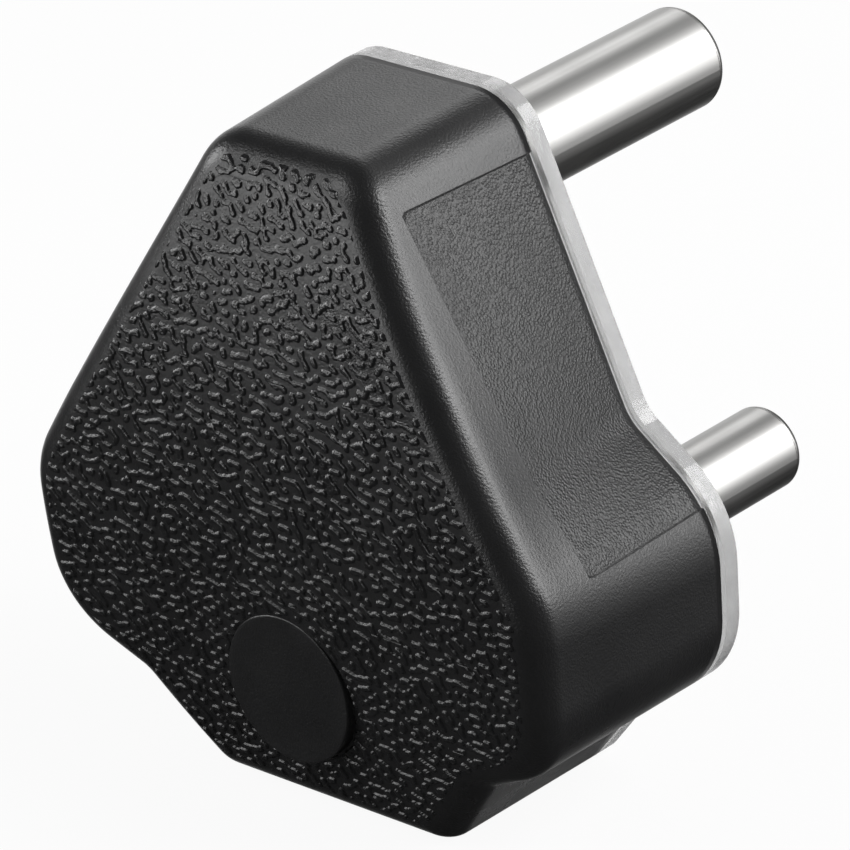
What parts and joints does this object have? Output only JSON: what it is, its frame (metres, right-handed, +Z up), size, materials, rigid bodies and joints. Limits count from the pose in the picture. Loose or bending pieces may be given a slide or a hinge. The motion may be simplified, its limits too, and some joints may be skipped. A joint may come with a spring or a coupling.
{
  "type": "rewirable three-round-pin plug top",
  "caption": "Rewirable mains plug top with a grained rubber cover, clear base, three round nickel pins and a cord grip inside.",
  "frame": {"origin": "midway between the live and neutral pins, on the face of the base that meets the socket", "axes": "+Y along the pins, away from the cover; +Z up towards the earth pin; +X to the right seen from the cover's front"},
  "size_m": [0.0542, 0.0518, 0.0569],
  "materials": {
    "cover_rubber": "grained satin black",
    "clear_base": "clear moulded polycarbonate",
    "nickel": "polished nickel plate on brass",
    "screw_steel": "zinc plated steel",
    "insert_brass": "turned brass",
    "clamp_plastic": "moulded black nylon"
  },
  "bodies": {
    "root": {"rubber_cover": "cover_rubber", "base_plate": "clear_base", "earth_pin": "nickel", "live_pin": "nickel", "neutral_pin": "nickel", "earth_terminal_screw": "screw_steel", "live_terminal_screw": "screw_steel", "neutral_terminal_screw": "screw_steel", "cord_clamp": "clamp_plastic", "clamp_screw_left": "screw_steel", "clamp_screw_right": "screw_steel", "clamp_insert_left": "insert_brass", "clamp_insert_right": "insert_brass", "cover_screw": "screw_steel", "cover_insert": "insert_brass"}
  },
  "joints": []
}
